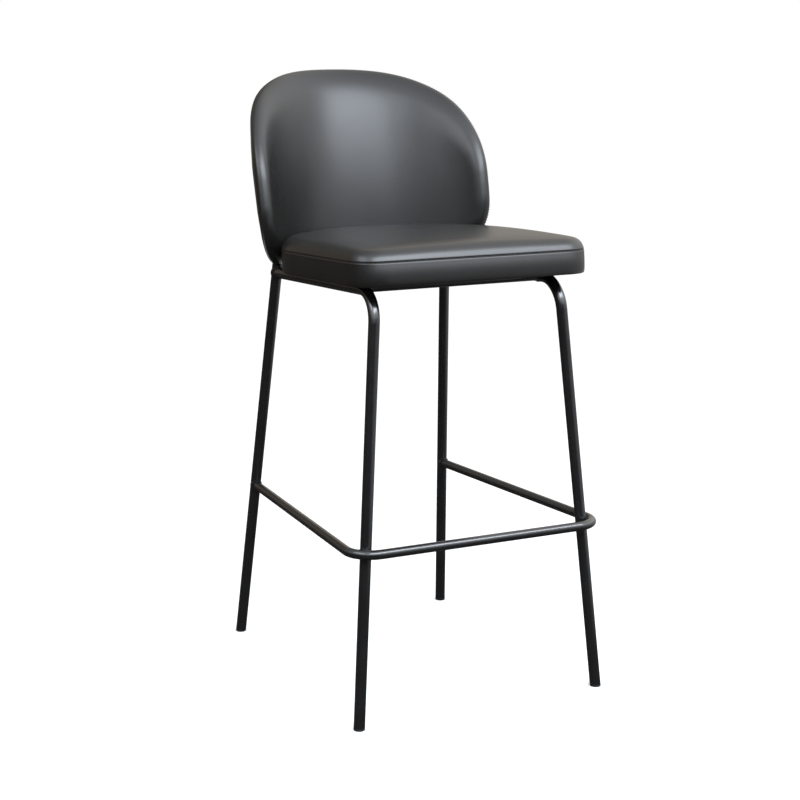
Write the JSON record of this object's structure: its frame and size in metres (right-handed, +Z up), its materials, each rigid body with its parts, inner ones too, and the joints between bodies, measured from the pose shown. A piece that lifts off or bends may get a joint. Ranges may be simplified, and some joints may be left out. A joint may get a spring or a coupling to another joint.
{
  "type": "bar stool with footrest",
  "caption": "Bar stool with a wrap-around upholstered back, a boxed seat pad in black leather and a black tube frame whose bent footrest runs round the front legs.",
  "frame": {"origin": "on the floor, under the middle of the stool's bounding box", "axes": "+Z up, -Y to the front (the way the sitter faces), +X to the right of a viewer who stands in front and looks at the stool along +Y"},
  "size_m": [0.4758, 0.6264, 1.0485],
  "materials": {
    "frame_black_powder_coat": "satin black powder coat",
    "cover_black_leather": "smooth black upholstery leather, satin",
    "padding_foam": "pale cut foam",
    "board_plywood": "raw plywood",
    "fastener_zinc": "zinc plated",
    "glide_black_plastic": "black moulded polyethylene",
    "dust_cloth_black": "black non-woven cloth"
  },
  "bodies": {
    "root": {"front_leg_left": "frame_black_powder_coat", "front_leg_right": "frame_black_powder_coat", "rear_leg_left": "frame_black_powder_coat", "rear_leg_right": "frame_black_powder_coat", "footrest_ring": "frame_black_powder_coat", "footrest_welds": "frame_black_powder_coat", "rail_welds": "frame_black_powder_coat", "front_cross_tube": "frame_black_powder_coat", "rear_cross_tube": "frame_black_powder_coat", "cross_tube_welds": "frame_black_powder_coat", "seat_tab_front_left": "frame_black_powder_coat", "seat_tab_front_right": "frame_black_powder_coat", "seat_tab_rear_left": "frame_black_powder_coat", "seat_tab_rear_right": "frame_black_powder_coat", "back_strap_lower": "frame_black_powder_coat", "back_strap_upper": "frame_black_powder_coat", "seat_top_cover": "cover_black_leather", "seat_boxing_band": "cover_black_leather", "back_front_cover": "cover_black_leather", "back_rear_cover": "cover_black_leather", "seat_foam": "padding_foam", "back_foam": "padding_foam", "seat_board": "board_plywood", "seat_bolts": "fastener_zinc", "bolt_washers": "fastener_zinc", "tee_nuts": "fastener_zinc", "foot_glide_front_left": "glide_black_plastic", "foot_glide_front_right": "glide_black_plastic", "foot_glide_rear_left": "glide_black_plastic", "foot_glide_rear_right": "glide_black_plastic", "seat_dust_cover": "dust_cloth_black"}
  },
  "joints": []
}
